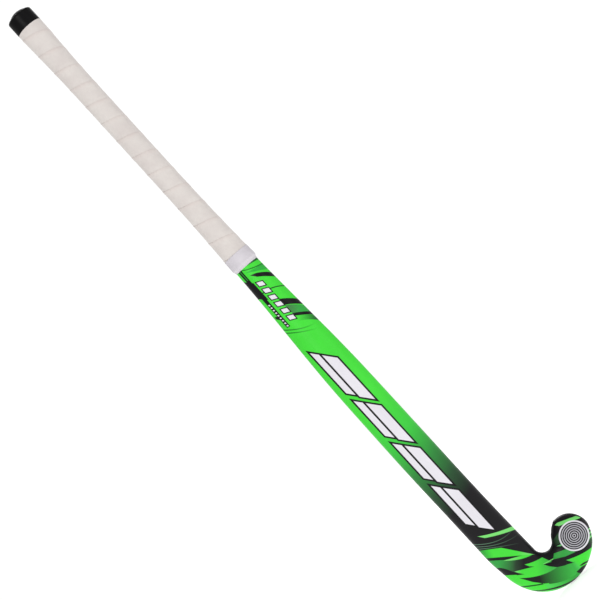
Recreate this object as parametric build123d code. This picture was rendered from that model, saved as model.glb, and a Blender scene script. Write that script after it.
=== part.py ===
from build123d import *
import os
from math import atan, atan2, cos, degrees, pi, radians, sin, sqrt, tan

# Field hockey stick, in millimetres.
# Frame: the handle's axis is Z, with +Z towards the butt. +X is the side that the toe points to.
# The flat playing face looks towards +Y and the rounded back towards -Y.
# The origin is on the handle's axis, at the middle of the butt cap's straight cylinder.
#
# The stick is laid out straight first: x across, v in depth (+v is the playing side) and s, the
# height above the bottom of the head. place() then bends it into its bow.

# Heights along the stick
LENGTH = 927.0
SEAT_TOP = 919.5  # top of the cap's straight cylinder
LAMINATE_TOP = 918.0
CAP_RIM = 903.0  # lower rim of the butt cap, where the grip ends
PLUG_BOTTOM = 882.0
TAPE_TOP = 547.0
GRIP_BOTTOM = 533.0
TAPE_STEP = 531.5  # the finishing tape closes in from the grip's end to the shaft below this
TAPE_BOTTOM = 528.0
CORE_JOINT = 112.0  # the shaft's two tubes end here, on the head's core
SEAT_MIDDLE = (SEAT_TOP + CAP_RIM) / 2

# Bow: an arc between two straight ends leans the head towards the playing side
BOW_TOP = 430.0
BOW_BOTTOM = 120.0
BOW_ANGLE = radians(7.4)
BOW_RADIUS = (BOW_TOP - BOW_BOTTOM) / BOW_ANGLE

# Walls
LAMINATE = 2.2
SLEEVE = 0.8  # wall of the inner tubes and of the sleeve round the head's core
CUSHION = 0.6
GRIP = 0.9
TAPE = 0.5

# Butt cap
CAP_RADIUS = 16.4
CAP_SHOULDER = 3.0  # radius between the cylinder and the crown
CAP_BORE = 15.0
CAP_GROOVE_RADIUS = 10.5
CAP_GROOVE = 0.7

# Sections
CORNER = 5.5  # rounding from the face to the side, measured across
WIDEST = 0.36  # depth of the widest point below the face, as a share of the whole depth
CROWN = 0.3  # how far the middle of the playing face stands proud of its edges
FACE_ARC = radians(20.0)  # half the arc that stands for the face on the round handle
BLADE_DEPTH = 20.5

# Centre of the crook, the inside of the hook
CROOK_X = 38.0
CROOK_S = 60.2

# Shaft stations: height, half width on the heel side, half width on the toe side, depth, and
# roundness, from 0 for the flat-faced section to 1 for the round handle
SHAFT = [
    (CROOK_S, 21.3, 25.0, BLADE_DEPTH, 0.0),
    (82.0, 23.7, 24.4, BLADE_DEPTH, 0.0),
    (105.0, 24.0, 23.8, BLADE_DEPTH, 0.0),
    (150.0, 24.2, 23.0, 20.8, 0.0),
    (220.0, 24.7, 22.6, 21.4, 0.0),
    (310.0, 24.0, 22.3, 22.2, 0.0),
    (360.0, 23.1, 21.9, 22.6, 0.05),
    (400.0, 21.4, 20.8, 23.0, 0.15),
    (440.0, 19.2, 19.0, 23.6, 0.35),
    (480.0, 17.0, 17.2, 24.4, 0.6),
    (520.0, 15.4, 15.5, 25.4, 0.85),
    (560.0, 14.4, 14.4, 26.2, 1.0),
    (600.0, 13.3, 13.3, 26.2, 1.0),
    (650.0, 12.8, 12.8, 25.6, 1.0),
    (740.0, 12.7, 12.7, 25.4, 1.0),
    (820.0, 12.8, 12.8, 25.6, 1.0),
    (860.0, 13.6, 13.6, 27.2, 1.0),
    (895.0, 14.7, 14.7, 29.4, 1.0),
    (LAMINATE_TOP, 14.8, 14.8, 29.6, 1.0),
]

# Hook: sections on rays from the crook's centre. Each row has a ray's angle, from 180 at the shaft
# through 270 at the bottom, and the distances to the crook's edge and to the outer edge
HOOK = [
    (180.0, 13.0, 59.3),
    (200.0, 13.3, 58.9),
    (220.0, 13.6, 59.6),
    (240.0, 13.6, 60.4),
    (260.0, 13.4, 60.4),
    (280.0, 12.8, 60.2),
    (300.0, 12.0, 59.6),
    (318.0, 11.2, 59.2),
    (332.0, 11.0, 58.0),
]
HOOK_STEP = 8.0  # degrees between neighbouring hook sections
NECK_STEP = 13.0  # height between neighbouring sections above the hook
STATION_GAP = 5.0  # least height between the end of a stretch of shaft and its next section

# Toe: a round outer edge, closed at the tip of the hook. Each row has a section's distance below
# the tip and its distance from the crook's centre to the crook's edge
TOE_X = 66.0
TOE_S = 43.0
TOE_RADIUS = 25.8
TIP_ANGLE = 18.8
TIP_REACH = 25.5
TIP_SHIFT = 1.3  # how far the tip of a wall's inside moves back, as a share of the wall
TIP_WALL = 0.2  # the wall on the crook's side of the tip, as a share of the full wall
TOE = [
    (0.35, 24.4),
    (1.3, 22.0),
    (3.0, 18.9),
    (5.4, 16.4),
    (8.4, 14.4),
    (12.2, 12.4),
    (16.6, 11.3),
]
TOE_SECTIONS = 11
EDGE_REACH = 24.0  # half width of the blade, over which its back rounds off


def smooth(rows, x):
    """The values at x on a smooth curve through the rows, each a place and its values."""
    last = len(rows) - 1
    i = max(k for k in range(last) if k == 0 or rows[k][0] <= x)
    low, high = rows[i], rows[i + 1]
    before, after = rows[max(i - 1, 0)], rows[min(i + 2, last)]
    width = high[0] - low[0]
    t = (x - low[0]) / width
    values = []
    for a, b, c, d in zip(before[1:], low[1:], high[1:], after[1:]):
        low_slope = (c - a) / (high[0] - before[0]) * width
        high_slope = (d - b) / (after[0] - low[0]) * width
        cubic = b * (1 + 2 * t) * (1 - t) ** 2 + c * t * t * (3 - 2 * t)
        values.append(cubic + low_slope * t * (1 - t) ** 2 - high_slope * t * t * (1 - t))
    return values


def bend(s):
    """The centre line's y and z at height s, and the angle that the stick leans there."""
    if s >= BOW_TOP:
        return 0.0, s, 0.0
    lean = (BOW_TOP - max(s, BOW_BOTTOM)) / BOW_RADIUS
    y = BOW_RADIUS * (1 - cos(lean))
    z = BOW_TOP - BOW_RADIUS * sin(lean)
    straight = max(BOW_BOTTOM - s, 0.0)
    return y + straight * sin(lean), z - straight * cos(lean), lean


def place(x, v, s):
    """The point of the bent stick that lies at x, v, s on the straight one."""
    y, z, lean = bend(s)
    return Vector(x, y + v * cos(lean), z + v * sin(lean) - SEAT_MIDDLE)


def station_plane(s):
    """The plane across the stick at height s, with its normal towards the butt."""
    lean = bend(s)[2]
    return Plane(origin=place(0, 0, s), x_dir=(1, 0, 0), z_dir=(0, -sin(lean), cos(lean)))


def bulge(turn):
    """Handle length of a cubic that stands for an arc of this turn, as a share of its tangent."""
    return 4 / 3 * tan(turn / 4) / tan(turn / 2)


def section(at, heel, toe, face, depth, roundness, inset):
    """A closed section with a flat or crowned face and a rounded back.

    at(u, v) places its points, u runs from -heel to toe, and face is the face's depth v.
    """
    middle = (toe - heel) / 2
    half = (toe + heel) / 2
    arc_drop = half * (1 - cos(FACE_ARC))
    drop = CROWN + (arc_drop - CROWN) * roundness
    flat_corner = CORNER - inset
    corner = flat_corner + (half * (1 - sin(FACE_ARC)) - flat_corner) * roundness
    slope = 2 * atan(drop / (half - corner))
    widest = (WIDEST + (0.5 - WIDEST) * roundness) * depth
    turn = pi / 2 - slope
    shoulder = drop + corner * tan(slope)

    def side(sign):
        """Corner and half of the back, from the face's end to the deepest point."""

        def point(inwards, down):
            return at(middle + sign * (half - inwards), face - down)

        k = bulge(turn)
        q = bulge(pi / 2)
        round_corner = Bezier(
            point(corner, drop),
            point(corner * (1 - k), drop + (shoulder - drop) * k),
            point(0, widest + (shoulder - widest) * k),
            point(0, widest),
        )
        back = Bezier(
            point(0, widest),
            point(0, widest + (depth - widest) * q),
            point(half * (1 - q), depth),
            point(half, depth),
        )
        return round_corner, back

    heel_end = at(middle - half + corner, face - drop)
    toe_end = at(middle + half - corner, face - drop)
    face_edge = ThreePointArc(heel_end, at(middle, face), toe_end)
    toe_corner, toe_back = side(1)
    heel_corner, heel_back = side(-1)
    return Wire([face_edge, toe_corner, toe_back, heel_back, heel_corner])


def shaft_section(s, inset):
    heel, toe, depth, roundness = smooth(SHAFT, s)
    return section(
        lambda u, v: place(u, v, s),
        heel - inset,
        toe - inset,
        depth / 2 - inset,
        depth - 2 * inset,
        min(max(roundness, 0.0), 1.0),
        inset,
    )


def ray_section(angle, inner, outer, face_drop, depth, roundness, inset):
    """A section of the head on a ray from the crook's centre."""
    direction = radians(angle)
    middle = (inner + outer) / 2
    half = (outer - inner) / 2

    def at(u, v):
        reach = middle - u
        return place(CROOK_X + reach * cos(direction), v, CROOK_S + reach * sin(direction))

    return section(at, half, half, BLADE_DEPTH / 2 - face_drop, depth, roundness, inset)


def toe_angle(distance, inset):
    """Angle of the ray at a distance below the tip of the body drawn in by inset."""
    return TIP_ANGLE - degrees((distance + TIP_SHIFT * inset) / TIP_REACH)


def toe_reach(angle, radius):
    """Distance from the crook's centre to the toe's round edge along a ray."""
    dx = TOE_X - CROOK_X
    ds = TOE_S - CROOK_S
    reach = sqrt(dx * dx + ds * ds)
    off = radians(angle) - atan2(ds, dx)
    return reach * cos(off) + sqrt(radius**2 - (reach * sin(off)) ** 2)


def toe_section(distance, inset):
    """A section of the toe at a distance below the tip, where the blade rounds off."""
    angle = toe_angle(distance, inset)
    inner = smooth(TOE, distance)[0] + inset * min(1.0, TIP_WALL + distance / TOE[-1][0])
    widest = WIDEST * BLADE_DEPTH - inset
    back = BLADE_DEPTH - 2 * inset - widest
    rounding = 1 - (1 - distance / EDGE_REACH) ** 2
    corner_share = min(distance / CORNER, 1.0)
    drop = widest * (1 - sqrt(1 - (1 - corner_share) ** 2))
    depth = widest - drop + back * sqrt(rounding)
    outer = toe_reach(angle, TOE_RADIUS - inset)
    return ray_section(angle, inner, outer, drop + inset, depth, 1 - corner_share, inset)


def hook_section(angle, inset):
    inner, outer = smooth(HOOK, angle)
    depth = BLADE_DEPTH - 2 * inset
    return ray_section(angle, inner + inset, outer - inset, inset, depth, 0.0, inset)


def head(inset):
    """The head up to the joint of the cores, drawn in by inset from its outer surface."""
    tip, toe_end = TOE[0][0], TOE[-1][0]
    toe = []
    for i in range(TOE_SECTIONS):
        share = 1 - cos(i / (TOE_SECTIONS - 1) * pi / 2)
        toe.append(toe_section(tip + (toe_end - tip) * share, inset))
    hook_end = 360 + toe_angle(toe_end, inset)
    steps = round((hook_end - HOOK[0][0]) / HOOK_STEP)
    step = (hook_end - HOOK[0][0]) / steps
    hook = [hook_section(hook_end - step * i, inset) for i in range(1, steps + 1)]
    levels = round((CORE_JOINT - CROOK_S) / NECK_STEP)
    rise = (CORE_JOINT - CROOK_S) / levels
    neck = [shaft_section(CROOK_S + rise * i, inset) for i in range(1, levels + 1)]
    return Solid.make_loft(toe + hook + neck, ruled=True)


def shaft(inset, low=CORE_JOINT, high=LAMINATE_TOP):
    """A stretch of the shaft as a solid, drawn in by inset, or out where inset is negative."""
    between = [row[0] for row in SHAFT if low + STATION_GAP < row[0] < high - STATION_GAP]
    return Solid.make_loft([shaft_section(s, inset) for s in [low] + between + [high]])


def above(solid, s):
    return split(solid, bisect_by=station_plane(s), keep=Keep.TOP)


def below(solid, s):
    return split(solid, bisect_by=station_plane(s), keep=Keep.BOTTOM)


def finish_tape():
    """Tape round the grip's lower end, filled, which closes in to the shaft below the grip."""
    over_grip = -(CUSHION + GRIP + TAPE)
    rings = [(TAPE_BOTTOM, -TAPE), (TAPE_STEP, over_grip), (TAPE_TOP, over_grip)]
    return Solid.make_loft([shaft_section(s, inset) for s, inset in rings], ruled=True)


def butt_cap():
    """Moulded cap over the handle's end: straight skirt, rounded shoulder and grooved crown."""
    top = LENGTH - SEAT_MIDDLE
    rim = CAP_RIM - SEAT_MIDDLE
    seat = SEAT_TOP - SEAT_MIDDLE
    ceiling = LAMINATE_TOP - SEAT_MIDDLE
    crown_radius = CAP_RADIUS - CAP_SHOULDER
    crown_bottom = seat + CAP_SHOULDER
    rise = top - crown_bottom
    dome = (rise**2 + crown_radius**2) / (2 * rise)
    groove_height = top - dome + sqrt(dome**2 - CAP_GROOVE_RADIUS**2)
    lean = cos(pi / 4)
    shoulder = (crown_radius + CAP_SHOULDER * lean, seat + CAP_SHOULDER * lean)
    inside = [(0, top), (0, ceiling), (CAP_BORE, ceiling), (CAP_BORE, rim)]
    with BuildPart() as cap:
        with BuildSketch(Plane.XZ):
            with BuildLine():
                Polyline(inside + [(CAP_RADIUS, rim), (CAP_RADIUS, seat)])
                ThreePointArc((CAP_RADIUS, seat), shoulder, (crown_radius, crown_bottom))
                TangentArc((0, top), (crown_radius, crown_bottom), tangent=(1, 0))
            make_face()
            with Locations((CAP_GROOVE_RADIUS, groove_height)):
                Circle(CAP_GROOVE, mode=Mode.SUBTRACT)
        revolve(axis=Axis.Z)
    return cap.part


def build():
    walls = (0.0, LAMINATE, LAMINATE + SLEEVE)
    head_outer, head_cavity, head_core = [head(inset) for inset in walls]
    shaft_outer, shaft_cavity, shaft_core = [shaft(inset) for inset in walls]
    nodes = {"outer_laminate": (head_outer - head_cavity) + (shaft_outer - shaft_cavity)}
    nodes["head_core"] = head_core
    nodes["head_sleeve"] = head_cavity - head_core
    nodes["butt_plug"] = above(shaft_cavity, PLUG_BOTTOM)
    tube_space = below(shaft_cavity, PLUG_BOTTOM)
    foam_space = below(shaft_core, PLUG_BOTTOM)
    for side, keep, sign in (("toe", Keep.TOP, 1), ("heel", Keep.BOTTOM, -1)):
        tube = split(tube_space, bisect_by=Plane.YZ, keep=keep)
        foam = split(foam_space, bisect_by=Plane.YZ.offset(sign * SLEEVE), keep=keep)
        nodes[f"foam_core_{side}_side"] = foam
        nodes[f"inner_tube_{side}_side"] = tube - foam
    cushioned = shaft(-CUSHION, GRIP_BOTTOM, CAP_RIM)
    gripped = shaft(-CUSHION - GRIP, GRIP_BOTTOM, CAP_RIM)
    nodes["grip_cushion"] = cushioned - shaft_outer
    nodes["grip_tape"] = gripped - cushioned - shaft_outer
    nodes["finish_tape"] = finish_tape() - gripped - shaft_outer
    nodes["butt_cap"] = butt_cap()
    return nodes


def main():
    os.makedirs("parts", exist_ok=True)
    for name, shape in build().items():
        export_step(shape, f"parts/{name}.step")
        print(name, len(shape.solids()), round(shape.volume / 1000, 2))


main()
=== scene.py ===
import bmesh
import bpy
from math import atan, atan2, cos, degrees, pi, radians, sin, sqrt, tan
from mathutils import Matrix, Vector


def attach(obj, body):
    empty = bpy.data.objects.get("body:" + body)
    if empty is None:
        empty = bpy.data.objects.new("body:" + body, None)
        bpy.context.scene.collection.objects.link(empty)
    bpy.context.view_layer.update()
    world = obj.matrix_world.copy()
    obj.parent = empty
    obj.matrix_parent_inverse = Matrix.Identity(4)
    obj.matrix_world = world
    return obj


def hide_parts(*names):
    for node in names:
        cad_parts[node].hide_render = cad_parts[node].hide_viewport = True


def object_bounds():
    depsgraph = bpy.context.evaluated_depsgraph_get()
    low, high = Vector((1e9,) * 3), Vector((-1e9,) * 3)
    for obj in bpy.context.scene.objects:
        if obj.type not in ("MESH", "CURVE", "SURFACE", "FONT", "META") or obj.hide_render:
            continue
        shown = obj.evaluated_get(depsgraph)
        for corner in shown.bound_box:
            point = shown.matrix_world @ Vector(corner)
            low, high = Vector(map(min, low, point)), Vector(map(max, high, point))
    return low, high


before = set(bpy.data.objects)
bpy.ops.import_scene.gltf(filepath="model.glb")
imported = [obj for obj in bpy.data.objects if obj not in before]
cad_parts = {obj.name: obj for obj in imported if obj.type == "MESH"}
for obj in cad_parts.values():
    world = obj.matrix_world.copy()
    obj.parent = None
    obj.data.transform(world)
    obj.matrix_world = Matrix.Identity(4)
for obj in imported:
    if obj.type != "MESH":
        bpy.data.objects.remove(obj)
CAD_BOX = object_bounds()

# The stick is described straight, in millimetres, as in the CAD: x across, v in depth (+v is the
# flat playing side) and s, the height above the bottom of the head. place() bends it into its bow.
MM = 0.001
SEAT_TOP = 919.5
LAMINATE_TOP = 918.0
CAP_RIM = 903.0
GRIP_BOTTOM = 533.0
TAPE_TOP = 547.0
TAPE_BOTTOM = 528.0
CORE_JOINT = 112.0
SEAT_MIDDLE = (SEAT_TOP + CAP_RIM) / 2
BOW_TOP = 430.0
BOW_BOTTOM = 120.0
BOW_ANGLE = radians(7.4)
BOW_RADIUS = (BOW_TOP - BOW_BOTTOM) / BOW_ANGLE
LAMINATE = 2.2
CUSHION = 0.6
GRIP = 0.9

# Sections, as in the CAD
CORNER = 5.5
WIDEST = 0.36
CROWN = 0.3
FACE_ARC = radians(20.0)
BLADE_DEPTH = 20.5
CROOK_X = 38.0
CROOK_S = 60.2
SHAFT = [
    (CROOK_S, 21.3, 25.0, BLADE_DEPTH, 0.0),
    (82.0, 23.7, 24.4, BLADE_DEPTH, 0.0),
    (105.0, 24.0, 23.8, BLADE_DEPTH, 0.0),
    (150.0, 24.2, 23.0, 20.8, 0.0),
    (220.0, 24.7, 22.6, 21.4, 0.0),
    (310.0, 24.0, 22.3, 22.2, 0.0),
    (360.0, 23.1, 21.9, 22.6, 0.05),
    (400.0, 21.4, 20.8, 23.0, 0.15),
    (440.0, 19.2, 19.0, 23.6, 0.35),
    (480.0, 17.0, 17.2, 24.4, 0.6),
    (520.0, 15.4, 15.5, 25.4, 0.85),
    (560.0, 14.4, 14.4, 26.2, 1.0),
    (600.0, 13.3, 13.3, 26.2, 1.0),
    (650.0, 12.8, 12.8, 25.6, 1.0),
    (740.0, 12.7, 12.7, 25.4, 1.0),
    (820.0, 12.8, 12.8, 25.6, 1.0),
    (860.0, 13.6, 13.6, 27.2, 1.0),
    (895.0, 14.7, 14.7, 29.4, 1.0),
    (LAMINATE_TOP, 14.8, 14.8, 29.6, 1.0),
]
HOOK = [
    (180.0, 13.0, 59.3),
    (200.0, 13.3, 58.9),
    (220.0, 13.6, 59.6),
    (240.0, 13.6, 60.4),
    (260.0, 13.4, 60.4),
    (280.0, 12.8, 60.2),
    (300.0, 12.0, 59.6),
    (318.0, 11.2, 59.2),
    (332.0, 11.0, 58.0),
]
TOE = [
    (0.35, 24.4),
    (1.3, 22.0),
    (3.0, 18.9),
    (5.4, 16.4),
    (8.4, 14.4),
    (12.2, 12.4),
    (16.6, 11.3),
]
TOE_X = 66.0
TOE_S = 43.0
TOE_RADIUS = 25.8
TIP_ANGLE = 18.8
TIP_REACH = 25.5  # distance from the crook's centre at which ring spacing is measured
TIP_SHIFT = 1.3
TIP_WALL = 0.2
EDGE_REACH = 24.0  # distance from the tip to where the rounding of the back ends

# How finely the stick's skin is divided
FACE_PARTS = 14
CORNER_PARTS = 7
BACK_PARTS = 14
TOE_RINGS = 26
HOOK_STEP = 3.0
NECK_STEP = 4.0
SHAFT_STEP = 6.0
TIP_RINGS = (0.02, 0.07, 0.14, 0.24)  # distances of the rings that close the tip

# The wound grip: a tape with thinned edges, each turn lapping over the one above it
PITCH = 26.65
LAP = 4.0
GRIP_WIDTH = PITCH + LAP
THIN_EDGE = 0.12
LAP_EDGE = 0.28
LAP_RISE = 1.4  # width over which a turn climbs on to the edge under it
FIRST_SEAM = 917.5
TURN_STEPS = 80

# The finishing tape, wound twice
TAPE_PLY = 0.16
TAPE_PLIES = 2
TAPE_SLACK = 0.04
TAPE_SLANT = 0.36
TAPE_CREEP = 0.25  # how far each turn lies above the one before
TAPE_STEP = 3.2  # height over which it closes in from the grip's end to the shaft
TAPE_START = 0.42  # where it starts, as a share of a turn
TAPE_OVERRUN = 6  # steps it is wound on past its whole turns


def smooth(rows, x):
    """The values at x on a smooth curve through the rows, each a place and its values."""
    last = len(rows) - 1
    i = max(k for k in range(last) if k == 0 or rows[k][0] <= x)
    low, high = rows[i], rows[i + 1]
    before, after = rows[max(i - 1, 0)], rows[min(i + 2, last)]
    width = high[0] - low[0]
    t = (x - low[0]) / width
    values = []
    for a, b, c, d in zip(before[1:], low[1:], high[1:], after[1:]):
        low_slope = (c - a) / (high[0] - before[0]) * width
        high_slope = (d - b) / (after[0] - low[0]) * width
        cubic = b * (1 + 2 * t) * (1 - t) ** 2 + c * t * t * (3 - 2 * t)
        values.append(cubic + low_slope * t * (1 - t) ** 2 - high_slope * t * t * (1 - t))
    return values


def place(point):
    """The point in metres, on the bent stick, of a point x, v, s on the straight one."""
    x, v, s = point
    if s >= BOW_TOP:
        return Vector((x, v, s - SEAT_MIDDLE)) * MM
    lean = (BOW_TOP - max(s, BOW_BOTTOM)) / BOW_RADIUS
    straight = max(BOW_BOTTOM - s, 0.0)
    y = BOW_RADIUS * (1 - cos(lean)) + straight * sin(lean) + v * cos(lean)
    z = BOW_TOP - BOW_RADIUS * sin(lean) - straight * cos(lean) + v * sin(lean)
    return Vector((x, y, z - SEAT_MIDDLE)) * MM


def bulge(turn):
    """Handle length of a cubic that stands for an arc of this turn, as a share of its tangent."""
    return 4 / 3 * tan(turn / 4) / tan(turn / 2)


def curve(a, b, c, d, parts):
    """Points on a cubic from a to d, leaving out the last."""
    points = []
    for i in range(parts):
        t = i / parts
        r = 1 - t
        points.append(a * r**3 + 3 * b * r * r * t + 3 * c * r * t * t + d * t**3)
    return points


def section(at, heel, toe, face, depth, roundness, inset):
    """Points round a section with a flat or crowned face and a rounded back, as in the CAD."""
    middle = (toe - heel) / 2
    half = (toe + heel) / 2
    arc_drop = half * (1 - cos(FACE_ARC))
    drop = CROWN + (arc_drop - CROWN) * roundness
    flat_corner = CORNER - inset
    corner = flat_corner + (half * (1 - sin(FACE_ARC)) - flat_corner) * roundness
    reach = half - corner
    slope = 2 * atan(drop / reach)
    widest = (WIDEST + (0.5 - WIDEST) * roundness) * depth
    shoulder = drop + corner * tan(slope)
    face_radius = (reach**2 + drop**2) / (2 * drop)
    k = bulge(pi / 2 - slope)
    q = bulge(pi / 2)

    def side(sign):
        def point(inwards, down):
            return at(middle + sign * (half - inwards), face - down)

        round_corner = (
            point(corner, drop),
            point(corner * (1 - k), drop + (shoulder - drop) * k),
            point(0, widest + (shoulder - widest) * k),
            point(0, widest),
        )
        back = (
            point(0, widest),
            point(0, widest + (depth - widest) * q),
            point(half * (1 - q), depth),
            point(half, depth),
        )
        return round_corner, back

    points = []
    for i in range(FACE_PARTS):
        u = reach * (2 * i / FACE_PARTS - 1)
        points.append(at(middle + u, face - face_radius + sqrt(face_radius**2 - u * u)))
    toe_corner, toe_back = side(1)
    heel_corner, heel_back = side(-1)
    points += curve(*toe_corner, CORNER_PARTS) + curve(*toe_back, BACK_PARTS)
    return points + curve(*heel_back[::-1], BACK_PARTS) + curve(*heel_corner[::-1], CORNER_PARTS)


def shaft_ring(s, inset):
    """A level ring of the shaft, or of its bore when it is inset by the wall."""
    heel, toe, depth, roundness = smooth(SHAFT, s)
    return section(
        lambda u, v: Vector((u, v, s)),
        heel - inset,
        toe - inset,
        depth / 2 - inset,
        depth - 2 * inset,
        min(max(roundness, 0.0), 1.0),
        inset,
    )


def ray_ring(angle, inner, outer, face_drop, depth, roundness, inset):
    """A ring of the head on a ray from the crook's centre."""
    direction = radians(angle)
    middle = (inner + outer) / 2
    half = (outer - inner) / 2

    def at(u, v):
        reach = middle - u
        return Vector((CROOK_X + reach * cos(direction), v, CROOK_S + reach * sin(direction)))

    return section(at, half, half, BLADE_DEPTH / 2 - face_drop, depth, roundness, inset)


def toe_angle(distance, inset):
    """The angle of the ray at a distance below the toe's tip."""
    return TIP_ANGLE - degrees((distance + TIP_SHIFT * inset) / TIP_REACH)


def toe_reach(angle, radius):
    """Distance from the crook's centre to the toe's round edge along a ray."""
    dx = TOE_X - CROOK_X
    ds = TOE_S - CROOK_S
    reach = sqrt(dx * dx + ds * ds)
    off = radians(angle) - atan2(ds, dx)
    return reach * cos(off) + sqrt(radius**2 - (reach * sin(off)) ** 2)


def toe_ring(distance, inset):
    """A ring of the toe at a distance below the tip, where the blade rounds off."""
    angle = toe_angle(distance, inset)
    wall = inset * min(1.0, TIP_WALL + distance / TOE[-1][0])
    inner = smooth(TOE, max(distance, TOE[0][0]))[0] + wall
    widest = WIDEST * BLADE_DEPTH - inset
    back = BLADE_DEPTH - 2 * inset - widest
    rounding = 1 - (1 - distance / EDGE_REACH) ** 2
    corner_share = min(distance / CORNER, 1.0)
    drop = widest * (1 - sqrt(1 - (1 - corner_share) ** 2))
    depth = widest - drop + back * sqrt(rounding)
    outer = toe_reach(angle, TOE_RADIUS - inset)
    spare = (outer - inner) / 2 * (1 - sqrt(min(distance / TOE[0][0], 1.0)))
    return ray_ring(angle, inner + spare, outer - spare, drop + inset, depth, 1 - corner_share, inset)


def stick_rings(inset, coarseness):
    """Rings from the tip of the toe round the hook and up to the top of the laminate."""
    tip, toe_end = TOE[0][0], TOE[-1][0]
    count = round(TOE_RINGS / coarseness)
    rings = [] if inset else [toe_ring(distance, 0.0) for distance in TIP_RINGS]
    for i in range(count):
        share = 1 - cos(i / (count - 1) * pi / 2)
        rings.append(toe_ring(tip + (toe_end - tip) * share, inset))
    hook = list(HOOK)
    for distance, gap in TOE[:-3:-1]:
        angle = toe_angle(distance, 0.0)
        hook.append((360 + angle, gap, toe_reach(angle, TOE_RADIUS)))
    start = 360 + toe_angle(toe_end, inset)
    steps = round((start - HOOK[0][0]) / (HOOK_STEP * coarseness))
    for i in range(1, steps + 1):
        angle = start + (HOOK[0][0] - start) * i / steps
        inner, outer = smooth(hook, angle)
        depth = BLADE_DEPTH - 2 * inset
        rings.append(ray_ring(angle, inner + inset, outer - inset, inset, depth, 0.0, inset))
    stretches = [(CROOK_S, CORE_JOINT, NECK_STEP), (CORE_JOINT, LAMINATE_TOP, SHAFT_STEP)]
    for low, high, step in stretches:
        steps = round((high - low) / (step * coarseness))
        rings += [shaft_ring(low + (high - low) * i / steps, inset) for i in range(1, steps + 1)]
    return rings


def finish_piece(name, mesh, look):
    """Smooth-shades a mesh and makes it a piece that rides on the stick."""
    bm = bmesh.new()
    bm.from_mesh(mesh)
    bmesh.ops.recalc_face_normals(bm, faces=bm.faces)
    bm.to_mesh(mesh)
    bm.free()
    for polygon in mesh.polygons:
        polygon.use_smooth = True
    piece = bpy.data.objects.new(name, mesh)
    bpy.context.scene.collection.objects.link(piece)
    mesh.materials.append(look)
    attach(piece, "root")
    return piece


def loft(name, rings, positions, attribute, tips=()):
    """A closed mesh through rings of points, with each end closed by a face or by a fan of faces.

    The points themselves are kept in a mesh attribute, for the print to follow.
    """
    size = len(rings[0])
    points = [point for ring in rings for point in ring]
    faces = []
    for i in range(len(rings) - 1):
        for j in range(size):
            k = (j + 1) % size
            a, b = i * size, (i + 1) * size
            faces.append((a + j, a + k, b + k, b + j))
    for end, first in ((0, 0), (1, (len(rings) - 1) * size)):
        loop = [first + j for j in range(size)]
        if end < len(tips):
            points.append(tips[end])
            hub = len(points) - 1
            faces += [(loop[j], loop[(j + 1) % size], hub) for j in range(size)]
        else:
            faces.append(tuple(loop))
    mesh = bpy.data.meshes.new(name)
    mesh.from_pydata([positions(point) for point in points], [], faces)
    kept = mesh.attributes.new(attribute, "FLOAT_VECTOR", "POINT")
    kept.data.foreach_set("vector", [value for point in points for value in point])
    return mesh


def tip_of(rings):
    """The point that closes the toe: the middle of its first ring."""
    return sum(rings[0], Vector()) / len(rings[0])


def laminate_piece(look):
    """The printed fibre shell, hollow as in the CAD."""
    outer = stick_rings(0.0, 1.0)
    inner = stick_rings(LAMINATE, 2.0)
    tips = (tip_of(outer), tip_of(inner))
    mesh = loft("laminate_shell", outer + inner[::-1], place, "stick", tips)
    piece = finish_piece("laminate_shell", mesh, look)
    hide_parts("outer_laminate")
    return piece


def girth_table():
    """Heights on the handle, and for each the ring's turn angles and radii about the axis."""
    table = []
    step = 4.0
    s = TAPE_BOTTOM - step
    while s < CAP_RIM + step:
        polar = sorted((atan2(p.x, -p.y), sqrt(p.x**2 + p.y**2)) for p in shaft_ring(s, 0.0))
        polar = [(polar[-1][0] - 2 * pi, polar[-1][1])] + polar
        polar.append((polar[1][0] + 2 * pi, polar[1][1]))
        table.append((s, polar))
        s += step
    return table


GIRTH = girth_table()


def between(rows, x):
    """The value at x by straight lines through rows of a place and a value."""
    for (low, a), (high, b) in zip(rows, rows[1:]):
        if x <= high:
            return a + (b - a) * (x - low) / (high - low)
    return rows[-1][1]


def handle_point(turn, s, lift):
    """The point at a height, a turn angle from the back towards the toe, and a lift off the laminate."""
    angle = atan2(sin(turn), cos(turn))
    step = GIRTH[1][0] - GIRTH[0][0]
    rows_up = (s - GIRTH[0][0]) / step
    row = min(max(int(rows_up), 0), len(GIRTH) - 2)
    low = between(GIRTH[row][1], angle)
    high = between(GIRTH[row + 1][1], angle)
    radius = low + (high - low) * (rows_up - row) + lift
    return Vector((radius * sin(angle), -radius * cos(angle), s))


def ramp(x):
    """x, held between 0 and 1."""
    return min(max(x, 0.0), 1.0)


def soft(x):
    """An even rise from 0 to 1 with soft ends."""
    x = ramp(x)
    return x * x * (3 - 2 * x)


def grip_thickness(w):
    """Thickness of the tape at a distance from its lower edge: both its edges are thinned."""
    lower = THIN_EDGE + (GRIP - THIN_EDGE) * ramp(w / LAP)
    upper = LAP_EDGE + (GRIP - LAP_EDGE) * ramp((GRIP_WIDTH - w) / LAP)
    return min(lower, upper)


def grip_bed(w):
    """Height of the tape's underside over the cushion: its upper edge lies on the turn above."""
    if w < PITCH:
        return THIN_EDGE * soft((w - PITCH + LAP_RISE) / LAP_RISE)
    return THIN_EDGE + (GRIP - THIN_EDGE) * (w - PITCH) / LAP


def grip_top(turn, s):
    """Height of the wound grip's surface over the laminate."""
    below_seam = (FIRST_SEAM - PITCH * turn / (2 * pi) - s) % PITCH
    w = GRIP_WIDTH - below_seam
    return CUSHION + grip_bed(w) + grip_thickness(w)


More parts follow.
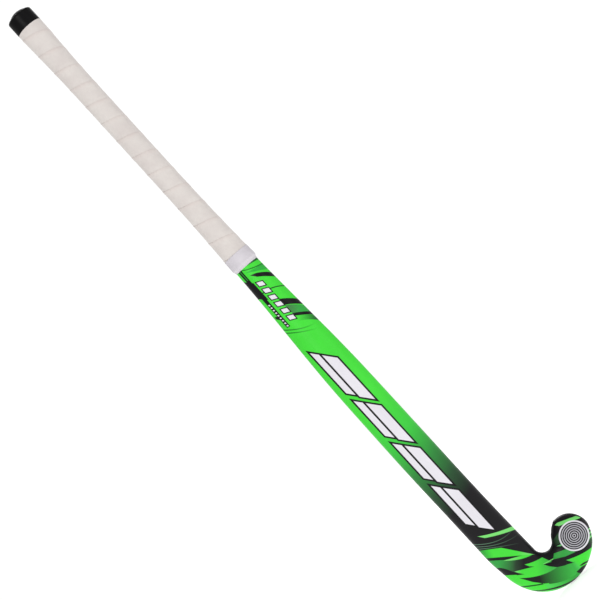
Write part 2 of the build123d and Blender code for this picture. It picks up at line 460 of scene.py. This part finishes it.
def grip_piece(look):
    """The grip: one tape wound down the handle, cut to a long point at both ends."""
    shares = [0, 0.02, 0.07, 0.13, 0.3, 0.5, 0.7, 0.8, 0.84, 0.87, 0.92, 0.96, 0.985, 0.995]
    edge_drop = 0.12
    gap = 0.01
    first = (FIRST_SEAM - CAP_RIM - GRIP_WIDTH) / PITCH + gap
    last = (FIRST_SEAM - GRIP_BOTTOM) / PITCH - gap
    steps = round((last - first) * TURN_STEPS)
    rings = []
    lays = []
    for i in range(steps + 1):
        turns = first + (last - first) * i / steps
        turn = turns * 2 * pi
        low_edge = FIRST_SEAM - turns * PITCH - GRIP_WIDTH
        low = max(low_edge, GRIP_BOTTOM) - low_edge
        high = min(low_edge + GRIP_WIDTH, CAP_RIM) - low_edge
        ring = []
        lay = []
        for share in shares + [1.0]:
            w = low + (high - low) * share
            top = CUSHION + grip_bed(w) + grip_thickness(w)
            if share in (0, 1.0):
                top -= edge_drop
            ring.append(handle_point(turn, low_edge + w, top))
            lay.append(Vector((w, turns * PITCH, top)))
        for share in (1.0, 0.96, 0.87, 0.82, 0.5, 0.0):
            w = low + (high - low) * share
            ring.append(handle_point(turn, low_edge + w, CUSHION + grip_bed(w) + gap))
            lay.append(Vector((w, turns * PITCH, 0.0)))
        rings.append(ring)
        lays.append(lay)
    mesh = loft("wound_grip", rings, place, "stick")
    kept = mesh.attributes.new("lay", "FLOAT_VECTOR", "POINT")
    kept.data.foreach_set("vector", [value for lay in lays for point in lay for value in point])
    piece = finish_piece("wound_grip", mesh, look)
    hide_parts("grip_tape")
    return piece


def tape_bed(turn, s):
    """Height over the laminate of what the finishing tape lies on, at the grip's lower end."""
    on_grip = soft((s - GRIP_BOTTOM + TAPE_STEP) / TAPE_STEP)
    return on_grip * grip_top(turn, max(s, GRIP_BOTTOM))


def finish_tape_piece(look):
    """The finishing tape, wound twice over the grip's lower end and on to the shaft."""
    heights = [0.0, 0.5, 1.5, 2.6, 3.8, 4.8, 5.6, 7.0, 9.0, 11.5, 14.0, 16.5, 18.4, 18.9]
    width = TAPE_TOP - TAPE_BOTTOM
    rings = []
    for i in range(TAPE_PLIES * TURN_STEPS + TAPE_OVERRUN + 1):
        wound = i / TURN_STEPS
        turn = (TAPE_START + wound) * 2 * pi
        ply = wound * TAPE_PLY + TAPE_SLACK
        foot = TAPE_BOTTOM - TAPE_SLANT * sin(turn) + TAPE_CREEP * wound
        top = []
        bottom = []
        for height in heights + [width]:
            s = foot + height
            bed = tape_bed(turn, s) + ply
            edge = 0.5 if height in (0.0, width) else 1.0
            top.append(handle_point(turn, s, bed + TAPE_PLY * edge))
            bottom.append(handle_point(turn, s, bed))
        rings.append(top + bottom[::-1])
    mesh = loft("finish_tape_wrap", rings, place, "stick")
    piece = finish_piece("finish_tape_wrap", mesh, look)
    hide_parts("finish_tape")
    return piece


# Colours, as printed: red, green and blue out of 255
BRIGHT = (67, 218, 57)
LIGHT = (120, 218, 112)
MID = (40, 158, 54)
DEEP = (30, 96, 42)
BLACK = (12, 10, 14)
LINE = (6, 6, 8)
WHITE = (226, 223, 230)
GREY_GREEN = (92, 132, 104)


def linear(colour):
    """A colour out of 255, as linear light with full alpha."""
    values = [c / 255 for c in colour]
    return tuple(c / 12.92 if c < 0.04045 else ((c + 0.055) / 1.055) ** 2.4 for c in values) + (1.0,)


class Net:
    """A material's nodes, with short ways to make them."""

    def __init__(self, name, roughness, specular=0.5):
        self.material = bpy.data.materials.new(name)
        self.material.use_nodes = True
        self.tree = self.material.node_tree
        self.shader = self.tree.nodes["Principled BSDF"]
        self.set("Roughness", roughness)
        self.set("Specular IOR Level", specular)

    def set(self, socket, value):
        """Gives one of the shader's sockets a number, or links it to another node's output."""
        if isinstance(value, bpy.types.NodeSocket):
            self.tree.links.new(value, self.shader.inputs[socket])
        else:
            self.shader.inputs[socket].default_value = value

    def node(self, kind, inputs, **settings):
        """Makes a node, with numbers or links on its inputs."""
        made = self.tree.nodes.new("ShaderNode" + kind)
        for name, value in settings.items():
            setattr(made, name, value)
        for key, value in inputs.items():
            if isinstance(value, bpy.types.NodeSocket):
                self.tree.links.new(value, made.inputs[key])
            else:
                made.inputs[key].default_value = value
        return made

    def math(self, operation, a, b=0.0, c=0.0):
        return self.node("Math", {0: a, 1: b, 2: c}, operation=operation).outputs[0]

    def mix(self, factor, a, b):
        """Mixes two colours, each out of 255 or another node's output."""
        a, b = [linear(c) if isinstance(c, tuple) and len(c) == 3 else c for c in (a, b)]
        return self.node("Mix", {0: factor, 6: a, 7: b}, data_type="RGBA").outputs[2]

    def attribute(self, name):
        return self.node("Attribute", {}, attribute_name=name).outputs["Vector"]

    def stretched(self, vector, scale):
        return self.node("VectorMath", {0: vector, 1: scale}, operation="MULTIPLY").outputs[0]

    def noise(self, vector, scale, detail=3.0, roughness=0.5):
        inputs = {"Vector": vector, "Scale": scale, "Detail": detail, "Roughness": roughness}
        return self.node("TexNoise", inputs).outputs["Fac"]

    def spread(self, value, low, high, to_low, to_high):
        """The value stretched from one range to another, and held inside it."""
        inputs = {0: value, 1: low, 2: high, 3: to_low, 4: to_high}
        return self.node("MapRange", inputs).outputs[0]

    def bump(self, height, distance, strength=1.0, normal=None):
        inputs = {"Height": height, "Distance": distance, "Strength": strength}
        if normal is not None:
            inputs["Normal"] = normal
        return self.node("Bump", inputs).outputs[0]

    def place(self):
        """The object's own coordinates, in metres."""
        return self.node("TexCoord", {}).outputs["Object"]


class Print:
    """Flat printed shapes laid over each other, at places x, s in millimetres on the stick."""

    SOFT = 0.34

    def __init__(self, net):
        self.net = net
        self.x, self.v, self.height = net.node("SeparateXYZ", {0: net.attribute("stick")}).outputs
        self.square = net.math("MULTIPLY", self.x, self.x)
        self.colour = None
        self.lay_out(1.0, 0.0, 0.0)

    def lay_out(self, scale, slant, shift):
        """Sets how s, the height that the shapes are given at, follows height and depth on the stick."""
        sloped = self.net.math("MULTIPLY_ADD", self.v, slant, shift)
        self.s = self.net.math("MULTIPLY_ADD", self.height, scale, sloped)
        inputs = {0: self.x, 1: self.square, 2: self.s}
        self.basis = self.net.node("CombineXYZ", inputs).outputs[0]

    def edge(self, across, bend, up, offset, softness=None):
        """Over 0.5 where across*x + bend*x*x + up*s + offset, in millimetres, is over 0."""
        soft_edge = softness or self.SOFT
        direction = (across / soft_edge, bend / soft_edge, up / soft_edge)
        inputs = {0: self.basis, 1: direction}
        reach = self.net.node("VectorMath", inputs, operation="DOT_PRODUCT").outputs["Value"]
        return self.net.math("ADD", reach, offset / soft_edge + 0.5)

    def line(self, p, q, inside, softness=None):
        """1 on the side of the line through p and q where the point inside lies."""
        nx, ns = p[1] - q[1], q[0] - p[0]
        length = sqrt(nx * nx + ns * ns)
        nx, ns = nx / length, ns / length
        offset = -nx * p[0] - ns * p[1]
        if nx * inside[0] + ns * inside[1] + offset < 0:
            nx, ns, offset = -nx, -ns, -offset
        return self.edge(nx, 0.0, ns, offset, softness)

    def arc(self, points, sign):
        """1 above (sign 1) or below (sign -1) the parabola, or line, through the points."""
        (x0, s0), (x1, s1) = points[0], points[-1]
        slope = (s1 - s0) / (x1 - x0)
        bend = 0.0
        if len(points) == 3:
            x2, s2 = points[1]
            bend = (s2 - s0 - slope * (x2 - x0)) / ((x2 - x0) * (x2 - x1))
        tilt = sqrt(1 + slope * slope)
        across = slope - bend * (x0 + x1)
        offset = s0 - slope * x0 + bend * x0 * x1
        scale = sign / tilt
        return self.edge(-across * scale, -bend * scale, scale, -offset * scale)

    def all_of(self, masks):
        """The mask of what all the masks share."""
        whole = masks[0]
        for mask in masks[1:]:
            whole = self.net.math("MINIMUM", whole, mask)
        return whole

    def shape(self, *corners):
        """The mask of a convex shape."""
        middle = [sum(values) / len(corners) for values in zip(*corners)]
        ends = corners[1:] + corners[:1]
        return self.all_of([self.line(p, q, middle) for p, q in zip(corners, ends)])

    def band(self, top, bottom, *cuts):
        """The mask between two edges, cut off by any lines: two points on each and a third inside."""
        masks = [self.arc(top, -1), self.arc(bottom, 1)]
        return self.all_of(masks + [self.line(*cut) for cut in cuts])

    def streak(self, points, width):
        """The mask of a thin line along a parabola."""
        top = [(x, s + width / 2) for x, s in points]
        bottom = [(x, s - width / 2) for x, s in points]
        return self.band(top, bottom)

    def fade(self, start, end):
        """0 at one point, rising evenly to 1 at another."""
        dx, ds = end[0] - start[0], end[1] - start[1]
        length = dx * dx + ds * ds
        direction = (dx / length, 0.0, ds / length)
        inputs = {0: self.basis, 1: direction}
        reach = self.net.node("VectorMath", inputs, operation="DOT_PRODUCT").outputs["Value"]
        offset = -(start[0] * dx + start[1] * ds) / length
        return self.net.math("ADD", reach, offset)

    def blend(self, colour_a, colour_b, start, end):
        """A colour that changes evenly from one point to another."""
        return self.net.mix(self.fade(start, end), colour_a, colour_b)

    def back_side(self):
        """1 on the stick's rounded back, 0 on its flat face."""
        return self.net.math("MULTIPLY", self.v, -4.0)

    def ink(self, colour, *masks):
        """Lays a colour over what is printed so far, where all the masks are."""
        self.colour = self.net.mix(self.all_of(masks), self.colour, colour)


def print_ground(paint):
    """Bright green that fades to black down the shaft."""
    fade_top, fade_length, lean = 310.0, 150.0, 0.0016
    down = paint.net.math("MULTIPLY_ADD", paint.s, -1 / fade_length, fade_top / fade_length)
    faded = paint.net.math("MULTIPLY_ADD", paint.x, lean, down)
    ramp_node = paint.net.node("ValToRGB", {0: faded})
    stops = ramp_node.color_ramp.elements
    shades = (
        (0.0, BRIGHT),
        (0.3, (58, 200, 62)),
        (0.58, (44, 134, 56)),
        (0.8, (34, 74, 42)),
        (1.0, BLACK),
    )
    while len(stops) < len(shades):
        stops.new(0.5)
    for stop, (where, colour) in zip(stops, shades):
        stop.position = where
        stop.color = linear(colour)
    paint.colour = ramp_node.outputs[0]


def print_shaft_top(paint):
    """Dark slashes, lines and a side band under the grip."""
    paint.ink(
        (46, 176, 60),
        paint.band([(-4, 522), (6, 519.5), (17, 519)], [(-4, 521), (6, 515), (17, 509)]),
    )
    paint.ink((28, 110, 38), paint.streak([(-8, 527.4), (2, 522.2), (14, 518.6)], 1.3))
    paint.ink(DEEP, paint.band([(2, 534), (17, 528)], [(2, 527.5), (17, 524.5)]))
    cut = (-5, 517.5), (1, 510), (10, 507)
    paint.ink(
        BLACK,
        paint.band([(-5, 517), (6, 512.5), (18, 502)], [(-5, 514), (6, 506.4), (18, 495.2)], cut),
    )
    paint.ink((18, 74, 26), paint.streak([(2, 490.5), (10, 487), (18, 481.5)], 1.4))
    # two black slashes, with shades of green under each
    cut = (1.4, 477), (2.4, 450), (10, 460)
    shade = paint.blend((50, 168, 66), (66, 130, 70), (14, 450), (4, 458))
    paint.ink(
        shade,
        paint.band([(0, 466), (10, 459), (19, 450)], [(0, 450), (10, 443), (20, 435.5)], cut),
    )
    shade = paint.blend(BRIGHT, DEEP, (3, 444), (18, 430))
    paint.ink(
        shade,
        paint.band([(0, 452), (10, 445), (20, 437)], [(0, 441.6), (10, 435.6), (20, 426)]),
    )
    paint.ink(
        BLACK,
        paint.band([(0, 476), (8, 470.5), (19, 460)], [(0, 466.5), (8, 461.5), (19, 451.5)], cut),
    )
    paint.ink(
        BLACK,
        paint.band([(0, 453.5), (10, 447.5), (20, 439.5)], [(0, 450), (10, 443), (20, 435.5)], cut),
    )
    for points in (
        [(-20, 446.4), (-8, 436.4), (8, 428.2)],
        [(-20, 441.4), (-6, 430.6), (12, 420.6)],
    ):
        thin = paint.blend((20, 104, 30), BRIGHT, (-12, 440), (14, 422))
        paint.ink(thin, paint.streak(points, 1.5))
    # the band along the heel side
    paint.ink(BLACK, paint.shape((-12.6, 530), (-8.4, 530), (-9.4, 443), (-13.6, 443.8)))
    paint.ink(BLACK, paint.shape((-18, 520), (-7.6, 508), (-7.6, 482), (-18, 493)))
    paint.ink(MID, paint.shape((-10.9, 530), (-10.1, 530), (-10.1, 514), (-10.9, 515)))
    paint.ink(BLACK, paint.shape((-16.4, 463), (-13, 461), (-13, 455.5), (-16.4, 459.5)))


def slanted_bar(paint, left, right, top, bottom, slope, rim):
    """A white bar along the shaft with slanted ends and a black rim."""

    def corners(grow):
        a, b = left - grow, right + grow
        reach = grow * sqrt(1 + slope * slope)
        high, low = top + reach, bottom - reach
        fall = (left - a) * slope, (left - b) * slope
        return (a, high + fall[0]), (b, high + fall[1]), (b, low + fall[1]), (a, low + fall[0])

    paint.ink(LINE, paint.shape(*corners(rim)))
    paint.ink(WHITE, paint.shape(*corners(0.0)))


def print_bars(paint):
    """Pairs of long slanted bars down the shaft, and a row of small ones under the grip."""
    slope, rim = 1.25, 2.0
    for top, length in ((405.0, 62.0), (331.0, 54.0), (265.0, 54.0), (199.0, 60.0)):
        slanted_bar(paint, -14.0, -7.4, top, top - length, slope, rim)
        slanted_bar(paint, -5.2, 6.0, top - 11.0, top - length - 13.0, slope, rim)
    for i in range(6):
        top = 506.0 - 10.4 * i
        slanted_bar(paint, -4.8, 1.6, top, top - 5.4, 0.5, 1.2)
    left, right, slant, height = -12.4, -10.7, 0.8, 1.8
    for i in range(9):
        top = 478.0 - 3.9 * i
        dash = (left, top), (right, top - slant), (right, top - slant - height), (left, top - height)
        paint.ink(WHITE, paint.shape(*dash))


def print_neck(paint):
    """A light bar and faint lines across the neck, over the black."""
    for points in (
        [(-26, 113), (-12, 101), (6, 93)],
        [(-26, 109), (-10, 96), (12, 86)],
        [(-26, 105), (-5, 89.5), (20, 74)],
    ):
        thin = paint.blend(GREY_GREEN, BLACK, (-16, 100), (18, 76))
        paint.ink(thin, paint.streak(points, 0.8))
    top = [(-13, 113.6), (5, 103.3), (26, 95.2)]
    bottom = [(-13, 109.8), (5, 99.2), (26, 90.2)]
    paint.ink(LIGHT, paint.band(top, bottom, ((-13.4, 113.6), (-8, 106), (5, 101))))


def print_flame(paint):
    """The jagged flame that runs from the heel edge down to a point by the crook."""
    field = paint.blend((48, 160, 66), (40, 70, 44), (-16, 74), (-3, 60))
    faded = paint.net.mix(paint.fade((-6, 62), (4, 54)), field, BLACK)
    paint.ink(faded, paint.shape((-30, 90), (-10, 75), (14, 56), (6, 46), (-30, 54)))
    paint.ink(BLACK, paint.shape((-30, 93.8), (8, 64.2), (5, 64.6), (-9, 72.8), (-30, 90)))
    top = paint.line((-26, 102.3), (-4, 87), (0, 60))
    right = paint.line((-1, 84), (19.8, 55.6), (0, 60))
    belly = paint.line((-26, 90.7), (8, 64.2), (10, 80))
    flame = paint.blend(MID, BRIGHT, (-25, 92), (-14, 88))
    tip = paint.net.mix(paint.fade((6, 68), (18, 56)), flame, LIGHT)
    paint.ink(tip, top, right, belly)
    # the second tongue, under the notch
    under = paint.arc([(-9, 71.6), (4, 61.8), (19.8, 55.4)], 1)
    notch = paint.line((-9, 72.3), (7.6, 63.9), (0, 60))
    over = paint.line((-26, 91), (8, 64.5), (0, 60))
    shade = paint.blend(LIGHT, BRIGHT, (-4, 66), (8, 62))
    paint.ink(shade, under, notch, right, over)


def print_heel(paint):
    """The bright field round the heel, with its spikes, and the dark wedge that opens under it."""
    end = paint.line((25, 46), (29, 36.6), (0, 30))
    shade = paint.blend(BRIGHT, (60, 180, 68), (16, 46), (30, 36))
    paint.ink(shade, paint.line((-22, 60.6), (-3.5, 45), (-20, 20)), end)
    top = paint.line((-9.6, 55), (11, 44), (0, 30))
    left = paint.line((-9.6, 55), (-3.5, 45), (10, 40))
    paint.ink(shade, top, left, end)
    top = paint.arc([(4.6, 53.2), (12, 49.5), (25, 45.8)], -1)
    left = paint.line((4.7, 53), (7.2, 48), (20, 45))
    bottom = paint.line((7.2, 48), (11.5, 43.6), (20, 45))
    paint.ink(shade, top, left, bottom, end)
    glow = paint.fade((-3, 52.6), (-8.8, 54.6))
    paint.ink(LIGHT, glow, paint.shape((-9.6, 55), (-4, 52), (-3, 46), (-6, 48)))
    edge = paint.arc([(-24, 72.8), (-15, 64), (-8.6, 50)], -1)
    paint.ink(BLACK, edge, paint.line((-26, 63.6), (-3.5, 45), (0, 70)))
    paint.ink(BLACK, paint.shape((-10.6, 55), (-3.4, 45), (-10.4, 50)))
    # the dark wedge, which turns green towards the sole
    wedge = paint.blend((18, 18, 18), (56, 176, 66), (6, 28), (42, 11))
    left = paint.line((-10.6, 45.6), (-2, 31.5), (20, 30))
    bottom = paint.line((-2, 31.5), (5, 23), (20, 30))
    top = paint.arc([(-10.6, 45.6), (8, 32.4), (31, 25.2)], -1)
    right = paint.line((31, 25.2), (48, 16.2), (20, 10))
    paint.ink(wedge, left, bottom, top, right)
    top = [(20, 39.4), (28, 37.4), (35, 35.6)]
    bottom = [(20, 38.6), (28, 36.4), (35, 34.6)]
    ends = ((21, 40), (20, 36), (30, 36)), ((36, 40), (35, 30), (30, 36))
    paint.ink(LIGHT, paint.band(top, bottom, *ends))


def print_sole(paint):
    """The bands, spikes and patches along the bottom of the head."""
    top = paint.line((-16, 37.5), (12, 17.2), (-10, 10))
    paint.ink(BRIGHT, top, paint.line((12, 30), (9, 0), (-10, 10)))
    streak = paint.streak([(-17, 37.4), (-5, 28.6), (5, 22.2)], 1.9)
    paint.ink((12, 74, 20), streak, paint.line((6, 30), (5, 16), (0, 20)))
    band = paint.blend((74, 206, 80), MID, (10, 16), (40, 4))
    top, bottom = [(5, 21.6), (20, 10.8), (44, 4.2)], [(5, 10), (20, 3), (44, -6)]
    paint.ink(band, paint.band(top, bottom, ((7, 30), (5, 5), (20, 8))))
    dark = paint.blend((24, 100, 30), LINE, (-4, 20), (12, 9))
    paint.ink(dark, paint.streak([(-4, 19.5), (18, 6.1), (42, -0.2)], 2.2))
    # black wedge under the crook, and the patch beside it
    wedge = (20.5, 38.6), (30, 34.3), (44, 27.5), (47.8, 17.4), (38, 20.8), (30, 25.5), (24.5, 32)
    paint.ink(BLACK, paint.shape(*wedge))
    patch = paint.shape((33, 35.2), (38.3, 39.7), (54, 33), (58, 24), (46, 28))
    paint.ink(paint.blend(MID, (54, 162, 70), (40, 36), (50, 28)), patch)
    # bright field towards the toe
    field = paint.blend((74, 196, 88), BRIGHT, (46, 12), (52, 14))
    top = paint.arc([(43.5, 24.4), (56, 19.2), (78, 15)], -1)
    paint.ink(field, top, paint.line((48.4, 17), (46, 4), (60, 12), 4.5))
    paint.ink(field, top, paint.shape((43.5, 24.4), (48.2, 16.8), (62, 14), (62, 20)))
    paint.ink(BLACK, paint.shape((48.2, 10.9), (56, 8.7), (66, 8.4), (62, 5.2), (52.6, 7.3)))
    paint.ink(BLACK, paint.shape((41.4, 8.4), (52, 6.3), (64, 6.6), (62, -1), (46, -1), (44, 4)))


def print_toe(paint):
    """Light bar, glow and small dashes round the toe's badge."""
    bar = (61, 63.4), (65, 63.6), (86.5, 54.8), (89.6, 50), (88, 49.8), (64, 59.4)
    paint.ink(LIGHT, paint.shape(*bar))
    glow = paint.blend((40, 74, 44), BLACK, (52, 47), (45, 49))
    paint.ink(glow, paint.back_side(), paint.shape((44, 46), (48, 52), (58, 54), (56, 42)))
    paint.ink((104, 186, 112), paint.shape((46, 44), (52.4, 41.8), (53, 39.4), (49.4, 41)))
    patch = paint.shape((72, 19), (76, 16), (88, 24), (86, 30), (78, 24))
    paint.ink(paint.blend(DEEP, BLACK, (84, 26), (76, 18)), patch)
    length, slant, height = 8.0, 0.8, 1.6
    for x, s in ((85.0, 33.6), (83.0, 29.6), (79.6, 25.8)):
        end = x + length
        dash = (x, s), (end, s + slant), (end, s + slant - height), (x, s - height)
        paint.ink((122, 206, 122), paint.shape(*dash))


def ring_mask(paint, distance, middle, half_width):
    """The mask of a ring: 1 within half a width of its middle radius."""
    off = paint.net.math("SUBTRACT", distance, middle)
    away = paint.net.math("ABSOLUTE", off)
    return paint.net.math("MULTIPLY_ADD", away, -1 / Print.SOFT, half_width / Print.SOFT + 0.5)


def print_badge(paint):
    """A plain round badge on the toe: a white rim round thin rings."""
    centre = (69.5, 39.1, 0.0)
    disc_radius, rim_radius, rim_half_width = 17.3, 17.1, 0.95
    ring_count, ring_radius, ring_step, ring_half_width = 6, 14.2, 2.5, 0.55
    here = paint.net.node("CombineXYZ", {0: paint.x, 1: paint.s}).outputs[0]
    gap = paint.net.node("VectorMath", {0: here, 1: centre}, operation="DISTANCE").outputs["Value"]
    back = paint.back_side()
    disc = paint.net.math("MULTIPLY_ADD", gap, -1 / Print.SOFT, disc_radius / Print.SOFT)
    paint.ink(LINE, back, disc)
    paint.ink(WHITE, back, ring_mask(paint, gap, rim_radius, rim_half_width))
    for i in range(ring_count):
        ring = ring_mask(paint, gap, ring_radius - ring_step * i, ring_half_width)
        paint.ink((184, 182, 190), back, ring)


def laminate_look():
    """Printed film under a satin lacquer."""
    net = Net("printed_lacquer", 0.38, 0.16)
    paint = Print(net)
    print_ground(paint)
    print_shaft_top(paint)
    print_bars(paint)
    paint.lay_out(0.983, 0.3, -0.1)
    print_neck(paint)
    print_flame(paint)
    print_heel(paint)
    print_sole(paint)
    print_toe(paint)
    print_badge(paint)
    here = net.place()
    drift = net.spread(net.noise(here, 38.0), 0.3, 0.7, 0.97, 1.03)
    tinted = net.node("VectorMath", {0: paint.colour, 3: drift}, operation="SCALE").outputs[0]
    net.set("Base Color", tinted)
    cloud = net.noise(here, 60.0, 4.0)
    net.set("Roughness", net.spread(cloud, 0.25, 0.75, 0.3, 0.42))
    peel = net.noise(here, 420.0, 2.0)
    net.set("Normal", net.bump(peel, 0.00012, 0.25))
    net.set("Coat Weight", 0.08)
    net.set("Coat Roughness", 0.18)
    return net.material


def grip_look():
    """Soft chamois-like polyurethane: fine nap, faint mottling, a patchy warm tint darkened with painted
    shade along each turn's lapping edge, and painted shade at the foot of each lap.
    """
    net = Net("chamois_grip", 0.78, 0.3)
    lay = net.attribute("lay")
    w, along, lift = net.node("SeparateXYZ", {0: lay}).outputs
    here = net.place()
    mottle = net.noise(here, 55.0, 4.0, 0.6)
    ground = net.mix(net.spread(mottle, 0.3, 0.7, 0.0, 1.0), (212, 204, 200), (222, 216, 211))
    fine = net.noise(here, 900.0, 3.0, 0.7)
    speck = net.mix(net.spread(fine, 0.3, 0.8, 0.0, 0.2), ground, (200, 189, 184))
    # a patchy warm tint, darkened as painted shade, along the last 6 mm of each turn's lapping edge
    edge_tint_and_shade = net.spread(w, GRIP_WIDTH - 6.0, GRIP_WIDTH, 0.0, 0.3)
    patchy = net.math("MULTIPLY", edge_tint_and_shade, net.spread(net.noise(here, 90.0), 0.3, 0.6, 0.5, 1.0))
    edged = net.mix(patchy, speck, (208, 190, 184))
    # painted shade at the foot of each lap, where the turn below steps over this one
    painted_seam_shade = net.spread(w, 5.0, LAP, 0.0, 0.22)
    net.set("Base Color", net.mix(painted_seam_shade, edged, (190, 170, 165)))
    net.set("Roughness", net.spread(fine, 0.2, 0.8, 0.7, 0.86))
    strand = net.noise(net.stretched(lay, (1.0, 0.12, 0.0)), 2.6, 3.0, 0.6)
    nap = net.bump(fine, 0.00016, 0.5)
    net.set("Normal", net.bump(strand, 0.0002, 0.25, nap))
    net.set("Sheen Weight", 0.25)
    net.set("Sheen Roughness", 0.5)
    return net.material


def tape_look():
    """Satin finishing tape with a faint weave."""
    net = Net("finishing_tape", 0.5)
    here = net.place()
    tone = net.noise(here, 80.0, 3.0)
    share = net.spread(tone, 0.3, 0.7, 0.0, 1.0)
    net.set("Base Color", net.mix(share, (203, 198, 204), (212, 207, 213)))
    weave = net.noise(net.stretched(here, (1.0, 1.0, 0.15)), 2400.0, 2.0)
    net.set("Roughness", net.spread(tone, 0.3, 0.7, 0.42, 0.56))
    net.set("Normal", net.bump(weave, 0.00006, 0.35))
    return net.material


def cap_look():
    """Glossy moulded black rubber with a little dust and fine scuffs."""
    net = Net("moulded_cap", 0.3, 0.12)
    here = net.place()
    dust = net.spread(net.noise(here, 700.0, 5.0, 0.7), 0.5, 0.8, 0.0, 0.14)
    net.set("Base Color", net.mix(dust, (9, 9, 10), (40, 40, 42)))
    cloud = net.noise(here, 160.0, 3.0)
    net.set("Roughness", net.spread(cloud, 0.3, 0.7, 0.3, 0.42))
    grain = net.noise(here, 1500.0, 2.0)
    net.set("Normal", net.bump(grain, 0.00005, 0.3))
    return net.material


def foam_look(name, dark, pale, cell):
    """Rigid foam with open cells on its cut faces, their hollows darkened with painted shade."""
    net = Net(name, 0.85, 0.3)
    here = net.place()
    cells = net.node("TexVoronoi", {"Vector": here, "Scale": 1 / cell}).outputs["Distance"]
    # the cells' hollows take the first colour, as painted shade; their walls take the second
    net.set("Base Color", net.mix(net.spread(cells, 0.0, 0.7, 0.0, 1.0), dark, pale))
    net.set("Roughness", net.spread(cells, 0.0, 0.7, 0.92, 0.78))
    net.set("Normal", net.bump(cells, cell * 0.3, 0.6))
    return net.material


def fibre_look():
    """Bare woven fibre laminate, with painted sheen on the weave's raised crossings and painted shade in
    its dips.
    """
    net = Net("bare_fibre", 0.4)
    here = net.place()
    tow = 0.002
    waves = []
    for turn in (pi / 4, -pi / 4):
        inputs = {"Vector": here, "Angle": turn}
        turned = net.node("VectorRotate", inputs, rotation_type="Y_AXIS").outputs[0]
        inputs = {"Vector": turned, "Scale": 0.314 / tow, "Distortion": 0.4}
        waves.append(net.node("TexWave", inputs).outputs["Fac"])
    over = net.math("MULTIPLY", waves[0], waves[1])
    # lighter on the raised crossings as painted sheen, darker in the dips as painted shade
    net.set("Base Color", net.mix(over, (22, 22, 24), (74, 74, 80)))
    net.set("Roughness", net.spread(over, 0.0, 1.0, 0.5, 0.32))
    net.set("Normal", net.bump(over, 0.00015, 0.5))
    return net.material


def dress(node, look):
    """Gives a CAD node its finished material."""
    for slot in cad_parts[node].material_slots:
        slot.material = look


def dress_cad_nodes():
    """Gives the nodes that stay as the CAD's their materials."""
    fibre = fibre_look()
    # the first colour of each foam is painted shade in its cells' hollows
    core = foam_look("core_foam", (186, 168, 118), (226, 212, 166), 0.0011)
    plug = foam_look("plug_foam", (70, 70, 73), (112, 112, 116), 0.0008)
    cushion = foam_look("cushion_foam", (140, 140, 142), (186, 186, 188), 0.0006)
    for node in ("head_sleeve", "inner_tube_toe_side", "inner_tube_heel_side"):
        dress(node, fibre)
    for node in ("head_core", "foam_core_toe_side", "foam_core_heel_side"):
        dress(node, core)
    dress("butt_plug", plug)
    dress("grip_cushion", cushion)
    dress("butt_cap", cap_look())


def floor():
    """A wide pale floor just under the head."""
    reach = 12.0
    low = CAD_BOX[0].z - 0.0006
    mesh = bpy.data.meshes.new("floor")
    corners = [(x * reach, y * reach, low) for x, y in ((-1, -1), (1, -1), (1, 1), (-1, 1))]
    mesh.from_pydata(corners, [], [(0, 1, 2, 3)])
    plane = bpy.data.objects.new("floor", mesh)
    bpy.context.scene.collection.objects.link(plane)
    net = Net("pale_floor", 0.9, 0.1)
    net.set("Base Color", (0.94, 0.94, 0.94, 1.0))
    net.set("Emission Color", (1.0, 1.0, 1.0, 1.0))
    net.set("Emission Strength", 0.58)
    mesh.materials.append(net.material)


def softbox(name, at, target, size, power):
    """A rectangular lamp that faces its target."""
    data = bpy.data.lights.new(name, "AREA")
    data.shape = "RECTANGLE"
    data.size, data.size_y = size
    data.energy = power
    lamp = bpy.data.objects.new(name, data)
    lamp.location = at
    lamp.rotation_euler = (Vector(target) - Vector(at)).to_track_quat("-Z", "Y").to_euler()
    bpy.context.scene.collection.objects.link(lamp)


def studio():
    """White surroundings and three soft lamps."""
    world = bpy.data.worlds.new("studio")
    bpy.context.scene.world = world
    world.use_nodes = True
    sky = world.node_tree.nodes["Background"]
    sky.inputs["Color"].default_value = (1.0, 1.0, 1.0, 1.0)
    seen = world.node_tree.nodes.new("ShaderNodeLightPath").outputs["Is Camera Ray"]
    strength = world.node_tree.nodes.new("ShaderNodeMapRange")
    strength.inputs[3].default_value = 0.49
    strength.inputs[4].default_value = 1.05
    world.node_tree.links.new(seen, strength.inputs[0])
    world.node_tree.links.new(strength.outputs[0], sky.inputs["Strength"])
    middle = (0.0, 0.0, -0.45)
    softbox("key", (-0.6, -2.5, 0.2), middle, (1.2, 1.2), 15.5)
    softbox("fill", (1.6, -1.6, -0.1), middle, (1.2, 1.6), 3.5)
    softbox("rear", (0.4, 2.2, 0.9), middle, (1.6, 1.2), 20.0)
    bpy.context.scene.view_settings.view_transform = "Standard"


def camera():
    """Looks at the rounded back from a little low, turned so that the butt is at the upper left."""
    data = bpy.data.cameras.new("camera")
    data.sensor_width = 36.0
    distance = 2.1
    view_width = 0.692
    data.lens = data.sensor_width * distance / view_width
    cam = bpy.data.objects.new("camera", data)
    rise = radians(1.8)
    roll = radians(42.38)
    back = Vector((0.0, -cos(rise), -sin(rise)))
    level = Vector((1.0, 0.0, 0.0))
    upright = back.cross(level)
    across = level * cos(roll) - upright * sin(roll)
    turn = Matrix((across, back.cross(across), back)).transposed()
    centre = Vector((0.0189, 0.0, 0.458 - SEAT_MIDDLE * MM))
    cam.matrix_world = Matrix.Translation(centre + back * distance) @ turn.to_4x4()
    bpy.context.scene.collection.objects.link(cam)
    bpy.context.scene.camera = cam


laminate_piece(laminate_look())
grip_piece(grip_look())
finish_tape_piece(tape_look())
dress_cad_nodes()
floor()
studio()
camera()
